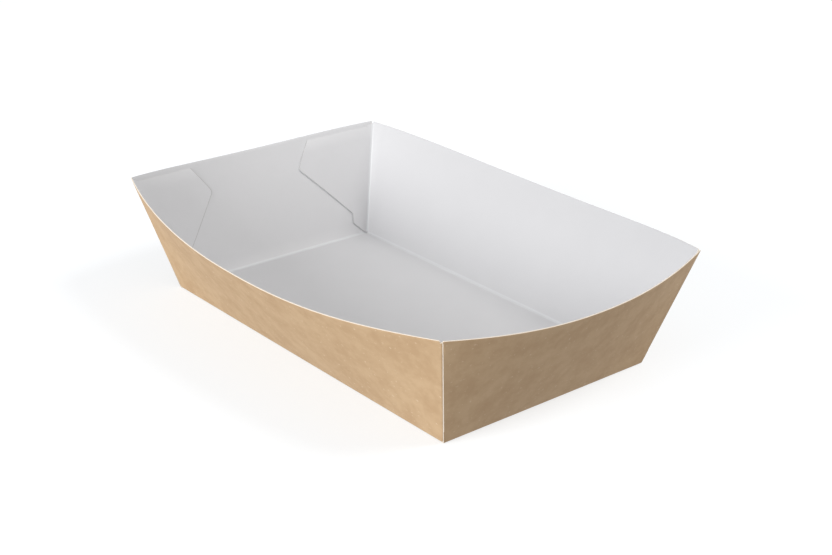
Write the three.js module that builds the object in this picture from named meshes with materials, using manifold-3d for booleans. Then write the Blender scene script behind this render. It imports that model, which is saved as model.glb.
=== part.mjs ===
// A paper food tray: one sheet of kraft board, creased, folded up and glued at its corners.
// Sizes are in millimetres and angles in degrees. +Z is up, +X is the long way of the tray,
// and the origin is the middle of the underside.
import * as THREE from "three";
import { ParametricGeometry } from "three/addons/geometries/ParametricGeometry.js";
import { mergeGeometries, mergeVertices } from "three/addons/utils/BufferGeometryUtils.js";
import Module from "manifold-3d";

const wasm = await Module();
wasm.setup();

// Base, measured between its creases, and the height of the tray's four corners
const baseLength = 165;
const baseWidth = 97;
const cornerHeight = 46.5;

// How far the walls lean out from upright: least at the corners and most in mid wall
const cornerLean = 15.3;
const longWallLean = 33.8;
const endWallLean = 27.7;
// 2 bows a wall as a parabola, and more keeps it straighter in the middle
const longWallBow = 2.26;
const endWallBow = 2.1;

// The board, and the inner radius that its creases leave
const board = 0.8;
const creaseRadius = 0.25;
// How far glue and pressure sink a flap into the end wall that it is glued to
const gluePress = 0.15;

// How the rim is rounded at a long wall's ends, where it meets the flaps, and at an end
// wall's ends
const longRimRadius = 1;
const endRimRadius = 0.5;

// Glue flap: heights are up the wall from its crease, drops are down from the rim, and
// lengths run along the end wall from its side edge. The ramp is how far its top edge takes
// to fall from the end of the long wall's rim.
const flapTopDrop = 2.2;
const flapTopRamp = 3;
const flapTopLength = 30.8;
const flapElbowDrop = 13.6;
const flapElbowLength = 35.5;
const flapElbowRounding = 1.6;
const flapHeelHeight = 10.2;
const flapHeelLength = 8.6;
const flapStepHeight = 5.9;
const flapStepLength = 8.1;
const flapToeLength = 1.6;

// The tab that carries an end wall's crease into the base: its length, and how far its sides
// stay in from the long walls' creases
const tabLength = 5;
const tabInset = 1.2;

// How finely the curved surfaces are divided
const longWallColumns = 24;
const rimCornerColumns = 3;
const endWallColumns = 20;
const endWallRows = 9;
const flapColumns = 8;
const flapElbowSteps = 3;
const foldSteps = 4;

const radians = THREE.MathUtils.degToRad;
const lerp = THREE.MathUtils.lerp;
const slant = cornerHeight / Math.cos(radians(cornerLean));
const foldRadius = board + creaseRadius;
const baseFoldReach = foldReach(Math.PI / 2 - radians(cornerLean));

const longWall = { span: baseLength, reach: baseWidth / 2, lean: longWallLean, bow: longWallBow };
const endWall = { span: baseWidth, reach: baseLength / 2, lean: endWallLean, bow: endWallBow };

// How far a fold's rounding reaches from its crease, for the angle that the board turns
function foldReach(turn) {
  return foldRadius * Math.tan(turn / 2);
}

// Half the length of a wall, at a height measured up its slope
function halfSpan(wall, height) {
  return wall.span / 2 + height * Math.sin(radians(cornerLean));
}

// A wall's lean, and how fast it changes, from side -1 at one side edge to 1 at the other
function leanAt(wall, side) {
  const gain = radians(wall.lean - cornerLean);
  const away = Math.abs(side);
  return {
    angle: radians(cornerLean) + gain * (1 - away ** wall.bow),
    change: -gain * wall.bow * away ** (wall.bow - 1) * Math.sign(side),
  };
}

// The way that the outer face of a wall on the +Y side looks
function wallNormal(wall, side, height) {
  const { angle, change } = leanAt(wall, side);
  const swing = height * change;
  const along = new THREE.Vector3(halfSpan(wall, height), swing * Math.cos(angle), -swing * Math.sin(angle));
  const up = new THREE.Vector3(side * Math.sin(radians(cornerLean)), Math.sin(angle), Math.cos(angle));
  return up.cross(along).normalize();
}

// A point of a wall on the +Y side, at a depth into the board from its outer face. The wall is
// bowed as card bows: each line up it from the crease stays straight and keeps its length.
function wallPoint(wall, side, height, depth = 0) {
  const { angle } = leanAt(wall, side);
  const out = wall.reach + height * Math.sin(angle);
  const point = new THREE.Vector3(side * halfSpan(wall, height), out, height * Math.cos(angle));
  return point.addScaledVector(wallNormal(wall, side, height), -depth);
}

// Carries a wall from the +Y side to the +X side
function turnToEnd(vector) {
  return new THREE.Vector3(vector.y, -vector.x, vector.z);
}

// The +X end wall beside its +Y corner, at a length along it from its side edge
function endSide(length, height) {
  return length / halfSpan(endWall, height) - 1;
}

function endPoint(length, height, depth) {
  return turnToEnd(wallPoint(endWall, endSide(length, height), height, depth));
}

function endNormal(length, height) {
  return turnToEnd(wallNormal(endWall, endSide(length, height), height));
}

// A rounded fold between two stretches of board that would meet at a sharp crease. Each end
// of the fold is a point on the outer face and the way that the face looks there.
function foldPoint(from, crease, to, share, depth) {
  const corner = from.normal.clone().add(to.normal);
  corner.divideScalar(1 + from.normal.dot(to.normal));
  const arc = new THREE.QuadraticBezierCurve3(
    from.point.clone().addScaledVector(from.normal, -depth),
    crease.clone().addScaledVector(corner, -depth),
    to.point.clone().addScaledVector(to.normal, -depth),
  );
  return arc.getPoint(share);
}

// The fold from the base up into a wall
function baseFoldPoint(wall, side, share, depth) {
  const x = (side * wall.span) / 2;
  const base = {
    point: new THREE.Vector3(x, wall.reach - baseFoldReach, 0),
    normal: new THREE.Vector3(0, 0, -1),
  };
  const rise = {
    point: wallPoint(wall, side, baseFoldReach),
    normal: wallNormal(wall, side, baseFoldReach),
  };
  return foldPoint(base, new THREE.Vector3(x, wall.reach, 0), rise, share, depth);
}

// The fold from the +Y long wall round into its flap on the +X end wall, at one height.
// The flap's outer face lies on the end wall's inner face, pressed into it by the glue.
function cornerFold(height) {
  const lapDepth = board - gluePress;
  const wallOut = wallNormal(longWall, 1, height);
  const endOut = endNormal(0, height);
  const upCrease = wallOut.clone().cross(endOut).normalize();
  const alongWall = wallOut.clone().cross(upCrease).normalize();
  const alongEnd = upCrease.clone().cross(endOut).normalize();
  const shift = -lapDepth / alongWall.dot(endOut);
  const reach = foldReach(Math.PI - alongWall.angleTo(alongEnd));
  return {
    crease: wallPoint(longWall, 1, height).addScaledVector(alongWall, shift),
    wallSide: 1 - (shift + reach) / halfSpan(longWall, height),
    flapStart: shift * alongWall.dot(alongEnd) + reach,
    lapDepth,
  };
}

function cornerFoldPoint(height, share, depth) {
  const { crease, wallSide, flapStart, lapDepth } = cornerFold(height);
  const wall = {
    point: wallPoint(longWall, wallSide, height),
    normal: wallNormal(longWall, wallSide, height),
  };
  const flap = {
    point: endPoint(flapStart, height, lapDepth),
    normal: endNormal(flapStart, height),
  };
  return foldPoint(wall, crease, flap, share, depth);
}

// The flap's free edge from its toe at the base to its top edge: a height in x and a length
// in y, with the elbow rounded off
const foldTop = slant - longRimRadius;
const flapTop = slant - flapTopDrop;
const flapToe = new THREE.Vector2(baseFoldReach, flapToeLength);
const flapHeel = new THREE.Vector2(flapHeelHeight, flapHeelLength);
const flapElbow = new THREE.Vector2(slant - flapElbowDrop, flapElbowLength);
const flapTip = new THREE.Vector2(foldTop, flapTopLength);

function towards(from, to, distance) {
  return to.clone().sub(from).setLength(distance).add(from);
}

const elbowCurve = new THREE.QuadraticBezierCurve(
  towards(flapElbow, flapHeel, flapElbowRounding),
  flapElbow,
  towards(flapElbow, flapTip, flapElbowRounding),
);
const flapOutline = [
  flapToe,
  new THREE.Vector2(flapStepHeight, flapStepLength),
  flapHeel,
  flapHeel.clone().lerp(flapElbow, 1 / 3),
  flapHeel.clone().lerp(flapElbow, 2 / 3),
  ...elbowCurve.getPoints(flapElbowSteps),
  flapElbow.clone().lerp(flapTip, 1 / 2),
  flapTip,
];

// A patch of board that is bent into place: its outer face, and where each of its points
// lies on the inner face
function patch(columns, rows, place) {
  const face = (depth) =>
    new ParametricGeometry((u, v, target) => target.copy(place(u, v, depth)), columns, rows);
  const geometry = face(0);
  geometry.setAttribute("inner", face(board).getAttribute("position"));
  geometry.deleteAttribute("normal");
  geometry.deleteAttribute("uv");
  return geometry;
}

// The same place function for the panel on the other side of the tray
const turned = (place) => (u, v, depth) => place(u, v, depth).multiply(new THREE.Vector3(-1, -1, 1));
const mirrored = (place) => (u, v, depth) => place(1 - u, v, depth).multiply(new THREE.Vector3(-1, 1, 1));

// Columns of a wall from -1 to 1 between its ends, closer together where its rim is rounded
function rimStations(wall, columns, radius) {
  const roundedShare = radius / halfSpan(wall, slant);
  const ends = Array.from({ length: rimCornerColumns }, (_, i) => {
    const turn = (Math.PI / 2) * (i / rimCornerColumns);
    return 1 - roundedShare * (1 - Math.cos(turn));
  });
  const middle = Array.from({ length: columns + 1 }, (_, i) =>
    (1 - roundedShare) * ((2 * i) / columns - 1),
  );
  return [...ends.map((station) => -station), ...middle, ...ends.reverse()];
}
const longStations = rimStations(longWall, longWallColumns, longRimRadius);
const endStations = rimStations(endWall, endWallColumns, endRimRadius);

// The height of a wall's rim, which is rounded down at each end
function rimHeight(wall, station, radius) {
  const fromEnd = (1 - Math.abs(station)) * halfSpan(wall, slant);
  const short = Math.max(0, radius - fromEnd);
  return slant - radius + Math.sqrt(radius ** 2 - short ** 2);
}

const rowAt = (rows, share) => rows[Math.round(share * (rows.length - 1))];

function longWallPlace(u, v, depth) {
  const station = rowAt(longStations, u);
  const height = rowAt(flapOutline, v).x;
  const share = (height - baseFoldReach) / (foldTop - baseFoldReach);
  const side = station * cornerFold(height).wallSide;
  const top = rimHeight(longWall, station, longRimRadius);
  return wallPoint(longWall, side, lerp(baseFoldReach, top, share), depth);
}

function longFoldPlace(u, v, depth) {
  return baseFoldPoint(longWall, rowAt(longStations, u) * cornerFold(baseFoldReach).wallSide, v, depth);
}

function cornerFoldPlace(u, v, depth) {
  return cornerFoldPoint(rowAt(flapOutline, v).x, u, depth);
}

function flapPlace(u, v, depth) {
  const { x: height, y: reach } = rowAt(flapOutline, v);
  const { flapStart, lapDepth } = cornerFold(height);
  const length = lerp(flapStart, reach, u);
  const drop = Math.max(0, height - flapTop) * Math.min(1, (length - flapStart) / flapTopRamp);
  return endPoint(length, height - drop, lapDepth + depth);
}

function basePlace(u, v, depth) {
  const edge = longFoldPlace(u, 0, depth);
  return new THREE.Vector3(edge.x, lerp(-edge.y, edge.y, v), edge.z);
}

function endWallPlace(u, v, depth) {
  const side = rowAt(endStations, u);
  const top = rimHeight(endWall, side, endRimRadius);
  return wallPoint(endWall, side, lerp(baseFoldReach, top, v), depth);
}

function endFoldPlace(u, v, depth) {
  return baseFoldPoint(endWall, rowAt(endStations, u), v, depth);
}

// The tab keeps its full width up to the end of the long walls' folds, and runs inside them
// from there
const tabShoulder = (1 - cornerFold(baseFoldReach).wallSide) * (baseLength / 2) - baseFoldReach;
const tabRows = [
  { back: tabShoulder + tabLength, inset: tabInset },
  { back: tabShoulder + creaseRadius, inset: tabInset },
  { back: tabShoulder, inset: 0 },
  { back: 0, inset: 0 },
];

function tabPlace(u, v, depth) {
  const { back, inset } = rowAt(tabRows, v);
  const y = endWall.reach - baseFoldReach - back;
  return new THREE.Vector3(rowAt(endStations, u) * (baseWidth / 2 - inset), y, depth);
}

// One side of the sheet: a long wall with its fold, its two corner folds and its two flaps
function longSide(onSide) {
  const columns = longStations.length - 1;
  const rows = flapOutline.length - 1;
  const ends = [(place) => place, mirrored].flatMap((onEnd) => [
    patch(foldSteps, rows, onSide(onEnd(cornerFoldPlace))),
    patch(flapColumns, rows, onSide(onEnd(flapPlace))),
  ]);
  return [
    patch(columns, foldSteps, onSide(longFoldPlace)),
    patch(columns, rows, onSide(longWallPlace)),
    ...ends,
  ];
}

// Joins patches edge to edge and closes the board's cut edges all round
function closedBoard(patches) {
  const skin = mergeVertices(mergeGeometries(patches), 1e-3);
  const outer = skin.getAttribute("position").array;
  const inner = skin.getAttribute("inner").array;
  const index = skin.getIndex().array;
  const points = outer.length / 3;
  const edges = new Map();
  const triangles = [];
  for (let i = 0; i < index.length; i += 3) {
    const [a, b, c] = index.slice(i, i + 3);
    triangles.push(c, b, a, a + points, b + points, c + points);
    [[a, b], [b, c], [c, a]].forEach(([from, to]) => edges.set(`${from} ${to}`, [from, to]));
  }
  for (const [from, to] of edges.values()) {
    if (edges.has(`${to} ${from}`)) continue;
    triangles.push(from, to, to + points, from, to + points, from + points);
  }
  return new wasm.Manifold(
    new wasm.Mesh({
      numProp: 3,
      vertProperties: new Float32Array([...outer, ...inner]),
      triVerts: new Uint32Array(triangles),
    }),
  );
}

function endPanel() {
  const columns = endStations.length - 1;
  return closedBoard([
    patch(columns, endWallRows, endWallPlace),
    patch(columns, foldSteps, endFoldPlace),
    patch(columns, tabRows.length - 1, tabPlace),
  ]);
}

function traySolid() {
  const main = closedBoard([
    patch(longStations.length - 1, 1, basePlace),
    ...longSide((place) => place),
    ...longSide(turned),
  ]);
  const end = endPanel();
  return main.add(end.rotate([0, 0, -90])).add(end.rotate([0, 0, 90]));
}

function meshOf(solid) {
  const { vertProperties, triVerts, numProp } = solid.getMesh();
  const geometry = new THREE.BufferGeometry();
  const points = Array.from({ length: vertProperties.length / numProp }, (_, i) =>
    [...vertProperties.slice(i * numProp, i * numProp + 3)],
  );
  geometry.setAttribute("position", new THREE.Float32BufferAttribute(points.flat(), 3));
  geometry.setIndex([...triVerts]);
  geometry.computeVertexNormals();
  return geometry;
}

const kraft = new THREE.MeshStandardMaterial({ color: 0xc6a884, roughness: 0.85, metalness: 0 });
const tray = new THREE.Mesh(meshOf(traySolid()), kraft);
tray.name = "tray";

const part = new THREE.Group();
part.add(tray);

export default part;
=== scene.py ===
import math
import bmesh
import bpy
from mathutils import Matrix, Vector


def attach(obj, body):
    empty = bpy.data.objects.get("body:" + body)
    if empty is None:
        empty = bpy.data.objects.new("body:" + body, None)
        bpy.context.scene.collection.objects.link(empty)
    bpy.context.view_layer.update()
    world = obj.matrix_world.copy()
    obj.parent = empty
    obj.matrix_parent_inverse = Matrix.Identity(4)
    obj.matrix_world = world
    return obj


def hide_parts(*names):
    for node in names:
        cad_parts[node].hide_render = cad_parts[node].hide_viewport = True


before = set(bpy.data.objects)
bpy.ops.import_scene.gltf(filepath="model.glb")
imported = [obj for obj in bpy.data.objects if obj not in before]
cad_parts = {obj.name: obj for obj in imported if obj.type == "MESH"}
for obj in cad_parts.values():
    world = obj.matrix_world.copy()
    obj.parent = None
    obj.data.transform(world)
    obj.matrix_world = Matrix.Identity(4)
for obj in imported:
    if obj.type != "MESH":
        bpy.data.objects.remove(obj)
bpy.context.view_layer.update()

mm = 0.001
print("frame loaded:", sorted(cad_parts))

# Camera, matched to the edges of the tray in the photo
shot = {
    "azimuth": 49.79,  # degrees round from -Y towards +X
    "elevation": 23.47,
    "roll": 0.91,
    "distance": 648.1 * mm,
    "target": Vector((-30.5, 33.7, 0)) * mm,
    "lens": 67.23,
    "sensorWidth": 36,
    "nearClip": 10 * mm,
}


def makeCamera():
    data = bpy.data.cameras.new("camera")
    data.sensor_width = shot["sensorWidth"]
    data.lens = shot["lens"]
    data.clip_start = shot["nearClip"]
    camera = bpy.data.objects.new("camera", data)
    bpy.context.scene.collection.objects.link(camera)
    around, above = math.radians(shot["azimuth"]), math.radians(shot["elevation"])
    flat = math.cos(above)
    back = Vector((math.sin(around) * flat, -math.cos(around) * flat, math.sin(above)))
    right = Vector((math.cos(around), math.sin(around), 0))
    turn = Matrix((right, back.cross(right), back)).transposed().to_4x4()
    turn @= Matrix.Rotation(math.radians(shot["roll"]), 4, "Z")
    camera.matrix_world = Matrix.Translation(shot["target"] + back * shot["distance"]) @ turn
    bpy.context.scene.camera = camera


makeCamera()
print("camera placed")

# The sheet of board. Heights run up a wall from its crease, drops run down from its rim
sheet = {
    "baseLength": 165 * mm,
    "baseWidth": 97 * mm,
    "cornerHeight": 46.5 * mm,
    "cornerLean": math.radians(15.3),
    "longLean": math.radians(33.8),
    "endLean": math.radians(27.7),
    "longBow": 2.26,
    "endBow": 2.1,
    "board": 0.4 * mm,
    "creaseRadius": 0.35 * mm,
    "bead": 0.2 * mm,  # how far the creasing rule raises the inner face along a long crease
    "lesserBead": 0.6,  # the share of that at the end creases and the corner folds
    "beadFoot": 0.45 * mm,  # how far a bead reaches past its fold on each side
    "cutBevel": 0.18 * mm,  # the end walls' side edges are crushed by the cutting rule
    "edgeRounding": 0.08 * mm,
    "sharpAngle": math.radians(55),  # edges sharper than this are rounded
    "smoothAngle": math.radians(40),  # edges flatter than this are shaded smooth
    "flapShadeLine": 0.3 * mm,  # the strip of painted shade along a flap's edge, where its step casts shade
    "glueLine": 0.05 * mm,
    "rimCorner": 1.0 * mm,
    "endCorner": 0.5 * mm,
    "flapTopDrop": 2.2 * mm,
    "flapTopRamp": 3 * mm,
    "flapTop": 30.8 * mm,
    "flapElbowDrop": 13.6 * mm,
    "flapElbow": 35.5 * mm,
    "flapElbowRounding": 1.6 * mm,
    "flapHeelHeight": 10.2 * mm,
    "flapHeel": 8.6 * mm,
    "flapStepHeight": 5.9 * mm,
    "flapStep": 8.1 * mm,
    "flapToe": 1.6 * mm,
    "longColumns": 24,
    "endColumns": 20,
    "flapColumns": 16,
    "foldSteps": 5,
    "elbowSteps": 5,
    "cornerSteps": 5,
}
slant = sheet["cornerHeight"] / math.cos(sheet["cornerLean"])
foldRadius = sheet["board"] + sheet["creaseRadius"]
baseTurn = math.pi / 2 - sheet["cornerLean"]
baseReach = foldRadius * math.tan(baseTurn / 2)  # from a base crease to where its rounding ends
longWall = {
    "span": sheet["baseLength"],
    "out": sheet["baseWidth"] / 2,
    "lean": sheet["longLean"],
    "bow": sheet["longBow"],
}
endWall = {
    "span": sheet["baseWidth"],
    "out": sheet["baseLength"] / 2,
    "lean": sheet["endLean"],
    "bow": sheet["endBow"],
}
near = 0.02 * mm  # points this close count as one when they are picked
clear = 0.05 * mm  # room left round a rounded fold when its points are picked
nearShare = 0.001  # the same for shares of a wall's half length


def halfSpan(wall, height):
    return wall["span"] / 2 + height * math.sin(sheet["cornerLean"])


def extraLean(wall, side):  # how much more the wall leans here than at its corners
    return (wall["lean"] - sheet["cornerLean"]) * (1 - abs(side) ** wall["bow"])


def wallAxes(wall, side, height):
    lean = sheet["cornerLean"] + extraLean(wall, side)
    step = 1e-4  # a share of the half length, short enough to give the slope
    change = (extraLean(wall, side + step) - extraLean(wall, side - step)) / (2 * step)
    swing = height * change
    along = Vector((halfSpan(wall, height), swing * math.cos(lean), -swing * math.sin(lean)))
    up = Vector((side * math.sin(sheet["cornerLean"]), math.sin(lean), math.cos(lean)))
    return lean, up.cross(along).normalized()


def wallPoint(wall, side, height, depth=0.0):  # a wall on the +Y side
    lean, outward = wallAxes(wall, side, height)
    across = wall["out"] + height * math.sin(lean)
    point = Vector((side * halfSpan(wall, height), across, height * math.cos(lean)))
    return point - outward * depth


def toEnd(vector):  # carries the +Y side to the +X side
    return Vector((vector.y, -vector.x, vector.z))


# Where the long wall turns round into its flap, at one height: the crease, the share of the
# wall's half length where the rounding starts, and the flap's length where it ends
def cornerFold(height):
    depth = sheet["board"] + sheet["glueLine"]
    wallOut = wallAxes(longWall, 1, height)[1]
    endOut = toEnd(wallAxes(endWall, -1, height)[1])
    upCrease = wallOut.cross(endOut).normalized()
    alongWall = wallOut.cross(upCrease).normalized()
    alongEnd = upCrease.cross(endOut).normalized()
    shift = -depth / alongWall.dot(endOut)
    reach = foldRadius * math.tan((math.pi - alongWall.angle(alongEnd)) / 2)
    crease = wallPoint(longWall, 1, height) + alongWall * shift
    side = 1 - (shift + reach) / halfSpan(longWall, height)
    flapStart = shift * alongWall.dot(alongEnd) + reach
    return crease, side, flapStart


def flapPoint(length, height):  # inside the +X end wall, this length along from its +Y edge
    side = length / halfSpan(endWall, height) - 1
    return toEnd(wallPoint(endWall, side, height, sheet["board"] + sheet["glueLine"]))


# Rows up a wall, through every corner of the flap, and the flap's length at each of them
elbow = slant - sheet["flapElbowDrop"]
foldTop = slant - sheet["rimCorner"]
flapTop = slant - sheet["flapTopDrop"]
flapHeel = Vector((sheet["flapHeelHeight"], sheet["flapHeel"]))
flapElbow = Vector((elbow, sheet["flapElbow"]))
flapTip = Vector((foldTop, sheet["flapTop"]))
elbowFrom = flapElbow + (flapHeel - flapElbow).normalized() * sheet["flapElbowRounding"]
elbowTo = flapElbow + (flapTip - flapElbow).normalized() * sheet["flapElbowRounding"]


def roundedElbow(share):
    return elbowFrom.lerp(flapElbow, share).lerp(flapElbow.lerp(elbowTo, share), share)


flapRows = [
    (baseReach, sheet["flapToe"]),
    (baseReach + sheet["beadFoot"], sheet["flapToe"] + sheet["beadFoot"]),
    (sheet["flapStepHeight"], sheet["flapStep"]),
    tuple(flapHeel),
    tuple(flapHeel.lerp(flapElbow, 1 / 3)),
    tuple(flapHeel.lerp(flapElbow, 2 / 3)),
    *(tuple(roundedElbow(step / sheet["elbowSteps"])) for step in range(sheet["elbowSteps"] + 1)),
    tuple(flapElbow.lerp(flapTip, 1 / 2)),
    tuple(flapTip),
]
wallHeights = [height for height, length in flapRows[1:]] + [slant]


def longHalf(height):  # half the length of the long wall between its two corner folds
    return cornerFold(max(height, baseReach))[1] * halfSpan(longWall, height)


def endHalf(height):
    return halfSpan(endWall, height)


def pick(piece, test):  # selects the points that pass, and nothing else
    bpy.ops.mesh.select_all(action="DESELECT")
    mesh = bmesh.from_edit_mesh(piece.data)
    for vert in mesh.verts:
        vert.select = test(vert.co)
    mesh.select_flush(True)
    bmesh.update_edit_mesh(piece.data)


def same(a, b):
    return abs(a - b) < near


def raiseWall(piece, wall, outward, half):  # a flat panel that leans as the corners do
    up = outward * math.sin(sheet["cornerLean"]) + Vector((0, 0, math.cos(sheet["cornerLean"])))
    last = 0.0
    for height in wallHeights:
        bpy.ops.mesh.extrude_region_move(TRANSFORM_OT_translate={"value": up * (height - last)})
        wider = half(height) / half(last)
        stretch = (1, wider, 1) if outward.x else (wider, 1, 1)
        bpy.ops.transform.resize(value=stretch, center_override=(0, 0, 0))
        last = height


def bowWall(piece, wall, outward, half, shares):  # each column swings out round the crease
    narrowed = half(slant) / halfSpan(wall, slant)
    for share in shares:

        def inColumn(co):
            out, across = (co.x, co.y) if outward.x else (co.y, co.x)
            height = math.hypot(out - wall["out"], co.z)
            inWall = co.z > clear and out > wall["out"]
            return inWall and abs(across / half(height) - share) < nearShare

        pick(piece, inColumn)
        swing = extraLean(wall, share * narrowed)
        crease = outward * wall["out"]
        if outward.x:
            bpy.ops.transform.rotate(value=-swing, orient_axis="Y", center_override=crease)
        else:
            bpy.ops.transform.rotate(value=swing, orient_axis="X", center_override=crease)


def mark(piece, name, weight=1.0):  # puts the picked points in a vertex group
    group = piece.vertex_groups.get(name) or piece.vertex_groups.new(name=name)
    piece.vertex_groups.active_index = group.index
    bpy.context.tool_settings.vertex_group_weight = weight
    bpy.ops.object.vertex_group_assign()


def flapSteps(flapStart, length):  # how far each column lies from the start of the flap
    reach = length - flapStart
    foot = min(sheet["beadFoot"], reach / 4)  # a quarter at most, where the flap is short
    line = min(sheet["flapShadeLine"], reach / 4)
    columns = sheet["flapColumns"]
    return [foot + (reach - line - foot) * c / columns for c in range(columns + 1)] + [reach]


def alongFlap(start, height, length, step):  # round the corner fold, then along the end wall
    crease, side, flapStart = cornerFold(height)
    if step <= sheet["foldSteps"]:
        share = step / sheet["foldSteps"]
        end = flapPoint(flapStart, height)
        return start.lerp(crease, share).lerp(crease.lerp(end, share), share)
    reached = flapSteps(flapStart, length)[step - sheet["foldSteps"] - 1]
    drop = max(0, height - flapTop) * min(1, reached / sheet["flapTopRamp"])
    return flapPoint(flapStart + reached, height - drop)


def addFlap(piece):
    def onFoldEdge(co):
        height = math.hypot(co.y - longWall["out"], co.z)
        beside = baseReach - clear < height < foldTop + clear and co.y > longWall["out"]
        return beside and abs(co.x / longHalf(height) - 1) < nearShare

    pick(piece, onFoldEdge)
    mark(piece, "bead", sheet["lesserBead"])
    mesh = bmesh.from_edit_mesh(piece.data)
    starts = sorted((vert.co.copy() for vert in mesh.verts if vert.select), key=lambda co: co.z)
    lastStep = sheet["foldSteps"] + sheet["flapColumns"] + 2
    for step in range(1, lastStep + 1):
        bpy.ops.mesh.extrude_region_move(TRANSFORM_OT_translate={"value": (0, 0, 0)})
        mesh = bmesh.from_edit_mesh(piece.data)
        row = sorted((vert for vert in mesh.verts if vert.select), key=lambda vert: vert.co.z)
        for vert, start, (height, length) in zip(row, starts, flapRows, strict=True):
            vert.co = alongFlap(start, height, length, step)
        bmesh.update_edit_mesh(piece.data)
        # an extruded point takes on the groups of the one that it came from
        bpy.ops.object.vertex_group_remove_from(use_all_groups=True)
        if step <= sheet["foldSteps"]:
            mark(piece, "bead", sheet["lesserBead"])
        else:
            mark(piece, "flap")
        if step >= lastStep - 1:
            mark(piece, "flapShadeLine")


def makeQuarter():  # the +X +Y quarter of the folded sheet, as its outer face
    creaseX, creaseY, foldEnd = endWall["out"], longWall["out"], longHalf(0)
    foot = sheet["beadFoot"]
    footX, footY = foldEnd - foot, creaseY - baseReach - foot
    bpy.ops.object.select_all(action="DESELECT")
    bpy.ops.mesh.primitive_grid_add(
        x_subdivisions=sheet["longColumns"],
        y_subdivisions=sheet["endColumns"],
        size=1,
        location=(footX / 2, footY / 2, 0),
    )
    piece = bpy.context.object
    piece.name = "trayBoard"
    piece.scale = (footX, footY, 1)
    bpy.ops.object.transform_apply(location=True, rotation=True, scale=True)
    bpy.ops.object.mode_set(mode="EDIT")
    bpy.ops.mesh.select_mode(type="VERT")

    # the base goes on to the foot of each crease's bead, and past the ends of the long creases
    pick(piece, lambda co: same(co.y, footY))
    bpy.ops.mesh.extrude_region_move(TRANSFORM_OT_translate={"value": (0, creaseY - footY, 0)})
    lastX = footX
    for nextX in (foldEnd, creaseX - baseReach - foot, creaseX):
        pick(piece, lambda co: same(co.x, lastX))
        bpy.ops.mesh.extrude_region_move(TRANSFORM_OT_translate={"value": (nextX - lastX, 0, 0)})
        lastX = nextX
    toX, toY = Vector((1, 0, 0)), Vector((0, 1, 0))
    raiseWall(piece, endWall, toX, endHalf)
    columns = sheet["endColumns"]
    shares = [footY / creaseY * c / columns for c in range(columns + 1)] + [1]
    bowWall(piece, endWall, toX, endHalf, shares)
    pick(piece, lambda co: same(co.y, creaseY) and same(co.z, 0) and co.x < foldEnd + near)
    raiseWall(piece, longWall, toY, longHalf)
    columns = sheet["longColumns"]
    shares = [footX / foldEnd * c / columns for c in range(columns + 1)] + [1]
    bowWall(piece, longWall, toY, longHalf, shares)

    # soften both creases into rounded folds
    creases = (
        lambda co: same(co.x, creaseX) and same(co.z, 0),
        lambda co: same(co.y, creaseY) and same(co.z, 0) and co.x < foldEnd + near,
    )
    for onCrease in creases:
        pick(piece, onCrease)
        bpy.ops.mesh.bevel(
            offset=baseReach,
            offset_type="OFFSET",
            segments=sheet["foldSteps"],
            profile=0.5,
            affect="EDGES",
            clamp_overlap=False,
        )
    inFold = baseReach + clear
    pick(piece, lambda co: math.hypot(co.x - creaseX, co.z) < inFold)
    mark(piece, "bead", sheet["lesserBead"])
    pick(piece, lambda co: math.hypot(co.y - creaseY, co.z) < inFold and co.x < foldEnd + near)
    mark(piece, "bead")
    addFlap(piece)

    # round the free corners of the rim
    rimEnd = wallPoint(longWall, cornerFold(slant)[1], slant)
    endTip = toEnd(wallPoint(endWall, -1, slant))
    foldCorner = sheet["rimCorner"] - clear  # stops just short of the flap, which starts below it
    for corner, radius in ((rimEnd, foldCorner), (endTip, sheet["endCorner"])):
        pick(piece, lambda co: (co - corner).length < 2 * clear)
        bpy.ops.mesh.bevel(
            offset=radius,
            segments=sheet["cornerSteps"],
            profile=0.5,
            affect="VERTICES",
            clamp_overlap=False,
        )

    bpy.ops.mesh.select_all(action="SELECT")
    bpy.ops.mesh.flip_normals()
    bpy.ops.object.mode_set(mode="OBJECT")
    return piece


def useModifier(piece, kind, **settings):
    modifier = piece.modifiers.new(kind.title(), kind)
    for name, value in settings.items():
        setattr(modifier, name, value)
    bpy.ops.object.modifier_apply(modifier=modifier.name)


def crushSideEdges(piece):  # the end walls' cut side edges, at the tray's four corners
    rise = math.tan(sheet["cornerLean"])

    def onSideEdge(co):
        offEnd = abs(co.x) - endWall["out"] - co.z * rise
        offLong = abs(co.y) - longWall["out"] - co.z * rise
        return max(abs(offEnd), abs(offLong)) < near / 2 and co.z > mm

    bpy.ops.object.mode_set(mode="EDIT")
    bpy.ops.mesh.select_mode(type="VERT")
    pick(piece, onSideEdge)
    bpy.ops.mesh.bevel(
        offset=sheet["cutBevel"], segments=1, affect="EDGES", clamp_overlap=False, material=2
    )
    bpy.ops.object.mode_set(mode="OBJECT")


def repaintLines(piece):  # painted shade along each flap's edge, and painted highlight along each crease and on each flap's cut edge
    names = [group.name for group in piece.vertex_groups]
    members = {name: set() for name in names}
    for vert in piece.data.vertices:
        for group in vert.groups:
            members[names[group.group]].add(vert.index)
    for face in piece.data.polygons:
        corners = set(face.vertices)
        inside = face.material_index == 1
        onCrease = len(corners & members["bead"]) >= 2  # the fold, and the foot on each side
        # a flap's cut edge takes the lighter coating, a painted highlight along the flap's edge
        if face.material_index == 2 and corners <= members["flap"]:
            face.material_index = 4
        # the flap's last strip takes the darker coating, painted shade beside the flap's step
        elif inside and corners <= members["flapShadeLine"]:
            face.material_index = 3
        # the inside of each crease and its bead's foot take the lighter coating, a painted
        # highlight along the bead
        elif inside and onCrease:
            face.material_index = 4
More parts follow.
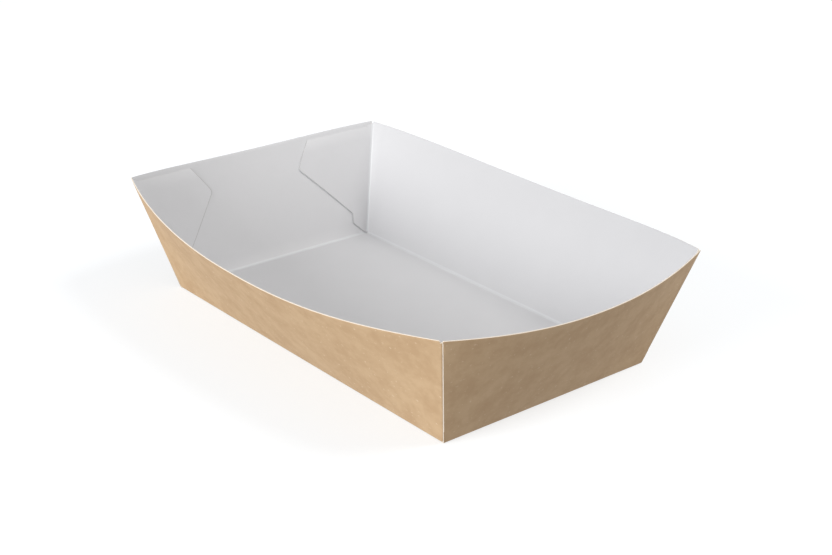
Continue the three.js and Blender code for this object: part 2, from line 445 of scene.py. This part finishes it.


# The materials in order: outer face, inner face, cut edges, painted shade along a flap's edge,
# painted highlight on creases and flap cut edges
def makeTray(materials):
    piece = makeQuarter()
    for material in materials:
        piece.data.materials.append(material)
    useModifier(piece, "MIRROR", use_axis=(True, True, False), merge_threshold=near / 2)
    thickest = sheet["board"] + sheet["bead"]
    useModifier(
        piece,
        "SOLIDIFY",
        thickness=thickest,
        offset=-1,
        use_even_offset=True,
        vertex_group="bead",
        thickness_vertex_group=sheet["board"] / thickest,
        material_offset=1,
        material_offset_rim=2,
    )
    crushSideEdges(piece)
    repaintLines(piece)
    useModifier(
        piece,
        "BEVEL",
        width=sheet["edgeRounding"],
        segments=2,
        limit_method="ANGLE",
        angle_limit=sheet["sharpAngle"],
    )
    bpy.ops.object.shade_smooth_by_angle(angle=sheet["smoothAngle"])
    return piece


# Materials
def linear(code):  # an sRGB hex colour as the linear values that a shader takes
    values = [int(code[i : i + 2], 16) / 255 for i in (1, 3, 5)]
    return [v / 12.92 if v <= 0.04045 else ((v + 0.055) / 1.055) ** 2.4 for v in values] + [1.0]


def addNode(material, kind, inputs, **settings):  # an input is a value or another node's output
    tree = material.node_tree
    node = tree.nodes.new(kind)
    for name, value in settings.items():
        setattr(node, name, value)
    for name, value in inputs.items():
        if isinstance(value, bpy.types.NodeSocket):
            tree.links.new(value, node.inputs[name])
        else:
            node.inputs[name].default_value = value
    return node


def newMaterial(name, roughness, ior):
    material = bpy.data.materials.new(name)
    material.use_nodes = True
    shader = material.node_tree.nodes["Principled BSDF"]
    shader.inputs["Roughness"].default_value = roughness
    shader.inputs["IOR"].default_value = ior
    return material, shader


def joinUp(material, shader, **sockets):
    for name, output in sockets.items():
        material.node_tree.links.new(output, shader.inputs[name.replace("_", " ")])


kraft = {
    "dark": "#BA9A75",
    "light": "#C8AA85",
    "fleck": "#D4BC9B",
    "cloud": 10 * mm,  # how far apart the cloudy patches of pulp lie
    "smudge": 3 * mm,
    "smudgeShare": 0.25,
    "contrast": (0.32, 0.68),  # the noise that turns dark pulp to light
    "fleckSize": 1.2 * mm,
    "fleckRange": (0.68, 0.8),  # only the peaks of the noise become flecks
    "fibre": 0.35 * mm,
    "relief": 0.01 * mm,
}


# Unbleached wood pulp, pressed but not coated: matt, cloudy, with paler flecks of fibre
def kraftBoard():
    material, shader = newMaterial("kraft board", roughness=0.82, ior=1.47)
    place = addNode(material, "ShaderNodeTexCoord", {}).outputs["Object"]
    cloud = addNode(
        material,
        "ShaderNodeTexNoise",
        {"Vector": place, "Scale": 1 / kraft["cloud"], "Detail": 5, "Roughness": 0.65},
    )
    smudge = addNode(
        material, "ShaderNodeTexNoise", {"Vector": place, "Scale": 1 / kraft["smudge"], "Detail": 2}
    )
    mottle = addNode(
        material,
        "ShaderNodeMix",
        {"Factor": kraft["smudgeShare"], 2: cloud.outputs["Fac"], 3: smudge.outputs["Fac"]},
    )
    darkEnd, lightEnd = kraft["contrast"]
    tone = addNode(
        material,
        "ShaderNodeMapRange",
        {"Value": mottle.outputs[0], "From Min": darkEnd, "From Max": lightEnd},
        interpolation_type="SMOOTHSTEP",
    )
    pulp = addNode(
        material,
        "ShaderNodeMix",
        {0: tone.outputs["Result"], 6: linear(kraft["dark"]), 7: linear(kraft["light"])},
        data_type="RGBA",
    )
    speck = addNode(
        material,
        "ShaderNodeTexNoise",
        {"Vector": place, "Scale": 1 / kraft["fleckSize"], "Detail": 1},
    )
    fleckFrom, fleckTo = kraft["fleckRange"]
    speckled = addNode(
        material,
        "ShaderNodeMapRange",
        {"Value": speck.outputs["Fac"], "From Min": fleckFrom, "From Max": fleckTo},
    )
    flecked = addNode(
        material,
        "ShaderNodeMix",
        {0: speckled.outputs["Result"], 6: pulp.outputs[2], 7: linear(kraft["fleck"])},
        data_type="RGBA",
    )
    fibre = addNode(
        material, "ShaderNodeTexNoise", {"Vector": place, "Scale": 1 / kraft["fibre"], "Detail": 3}
    )
    relief = addNode(
        material,
        "ShaderNodeBump",
        {"Height": fibre.outputs["Fac"], "Distance": kraft["relief"], "Strength": 0.4},
    )
    joinUp(material, shader, Base_Color=flecked.outputs[2], Normal=relief.outputs["Normal"])
    return material


# wave is how far apart the faint changes of white lie, and tooth is the size of its grain
coating = {"white": "#CACACC", "shade": "#C7C7C9", "wave": 14 * mm, "tooth": 0.5 * mm}
# a darker copy of the coating: painted shade along each flap's edge, where the flap's step casts
# shade
paintedFlapShade = {"white": "#B0AFAE", "shade": "#A5A4A3", "wave": 3 * mm, "tooth": 0.5 * mm}
# a lighter copy of the coating: painted highlight along the crease beads and on each flap's cut
# edge
paintedHighlight = {"white": "#D1D2D4", "shade": "#CECFD1", "wave": 9 * mm, "tooth": 0.3 * mm}
coatRelief = 0.004 * mm


# Clay coated and calendered: smooth and white, with a faint even sheen. A darker copy paints shade
# along each flap's edge, and a lighter copy paints highlight along each crease bead and on each
# flap's cut edge
def coatedBoard(name, finish):
    material, shader = newMaterial(name, roughness=0.5, ior=1.5)
    place = addNode(material, "ShaderNodeTexCoord", {}).outputs["Object"]
    wave = addNode(
        material, "ShaderNodeTexNoise", {"Vector": place, "Scale": 1 / finish["wave"], "Detail": 2}
    )
    white = addNode(
        material,
        "ShaderNodeMix",
        {0: wave.outputs["Fac"], 6: linear(finish["shade"]), 7: linear(finish["white"])},
        data_type="RGBA",
    )
    tooth = addNode(
        material, "ShaderNodeTexNoise", {"Vector": place, "Scale": 1 / finish["tooth"], "Detail": 2}
    )
    relief = addNode(
        material,
        "ShaderNodeBump",
        {"Height": tooth.outputs["Fac"], "Distance": coatRelief, "Strength": 0.4},
    )
    joinUp(material, shader, Base_Color=white.outputs[2], Normal=relief.outputs["Normal"])
    return material


cut = {"pulp": "#D6C9B8", "chalk": "#E8E0D5", "fibre": 0.5 * mm, "relief": 0.05 * mm}


# The die-cut edge shows the pale inner plies, with a rough broken face
def cutEdge():
    material, shader = newMaterial("cut board edge", roughness=0.9, ior=1.47)
    place = addNode(material, "ShaderNodeTexCoord", {}).outputs["Object"]
    fibre = addNode(
        material, "ShaderNodeTexNoise", {"Vector": place, "Scale": 1 / cut["fibre"], "Detail": 3}
    )
    plies = addNode(
        material,
        "ShaderNodeMix",
        {0: fibre.outputs["Fac"], 6: linear(cut["pulp"]), 7: linear(cut["chalk"])},
        data_type="RGBA",
    )
    relief = addNode(
        material,
        "ShaderNodeBump",
        {"Height": fibre.outputs["Fac"], "Distance": cut["relief"], "Strength": 0.5},
    )
    joinUp(material, shader, Base_Color=plies.outputs[2], Normal=relief.outputs["Normal"])
    return material


trayBoard = makeTray(
    [
        kraftBoard(),
        coatedBoard("coated white board", coating),
        cutEdge(),
        coatedBoard("pressed coating", paintedFlapShade),
        coatedBoard("stretched coating", paintedHighlight),
    ]
)
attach(trayBoard, "root")
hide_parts("tray")
print("tray made:", len(trayBoard.data.polygons), "faces")

# Studio
studio = {
    "floorSize": 6.0,
    "floorGap": 0.05 * mm,  # keeps the floor off the underside of the board
    "floorColour": "#A6AAAE",  # a little blue, against the warm light off the kraft
    "floorGlow": 0.63,  # keeps the paper white where the lights fall off
    "distance": 2.0,
    "lightSize": 1.0,
    "keyFrom": (0, 20),  # degrees round from -Y towards +X, and up
    "keyPower": 35.6,
    "backFrom": (135, 50),
    "backPower": 20.6,
    "backTint": (1, 0.98, 0.95),
    "skyStrength": 0.47,
}


def makeFloor():
    bpy.ops.object.select_all(action="DESELECT")
    bpy.ops.mesh.primitive_plane_add(size=studio["floorSize"], location=(0, 0, -studio["floorGap"]))
    floor = bpy.context.object
    floor.name = "floor"
    material, shader = newMaterial("floor paper", roughness=1.0, ior=1.5)
    shader.inputs["Base Color"].default_value = linear(studio["floorColour"])
    shader.inputs["Emission Color"].default_value = (1, 1, 1, 1)
    shader.inputs["Emission Strength"].default_value = studio["floorGlow"]
    floor.data.materials.append(material)
    floor.visible_diffuse = False  # the sky lights the walls from below instead


def makeLight(name, source, power, tint=(1, 1, 1)):  # a round soft light that looks at the tray
    around, above = (math.radians(angle) for angle in source)
    flat = math.cos(above)
    place = Vector((math.sin(around) * flat, -math.cos(around) * flat, math.sin(above)))
    data = bpy.data.lights.new(name, "AREA")
    data.shape = "DISK"
    data.size = studio["lightSize"]
    data.energy = power
    data.color = tint
    light = bpy.data.objects.new(name, data)
    bpy.context.scene.collection.objects.link(light)
    light.location = place * studio["distance"]
    light.rotation_euler = place.to_track_quat("Z", "Y").to_euler()


def makeSky():
    world = bpy.data.worlds.new("studio")
    world.use_nodes = True
    sky = world.node_tree.nodes["Background"]
    sky.inputs["Color"].default_value = (1, 1, 1, 1)
    sky.inputs["Strength"].default_value = studio["skyStrength"]
    bpy.context.scene.world = world


makeFloor()
makeLight("key", studio["keyFrom"], studio["keyPower"])
makeLight("back", studio["backFrom"], studio["backPower"], studio["backTint"])
makeSky()
bpy.context.scene.view_settings.view_transform = "Standard"
print("studio lit")
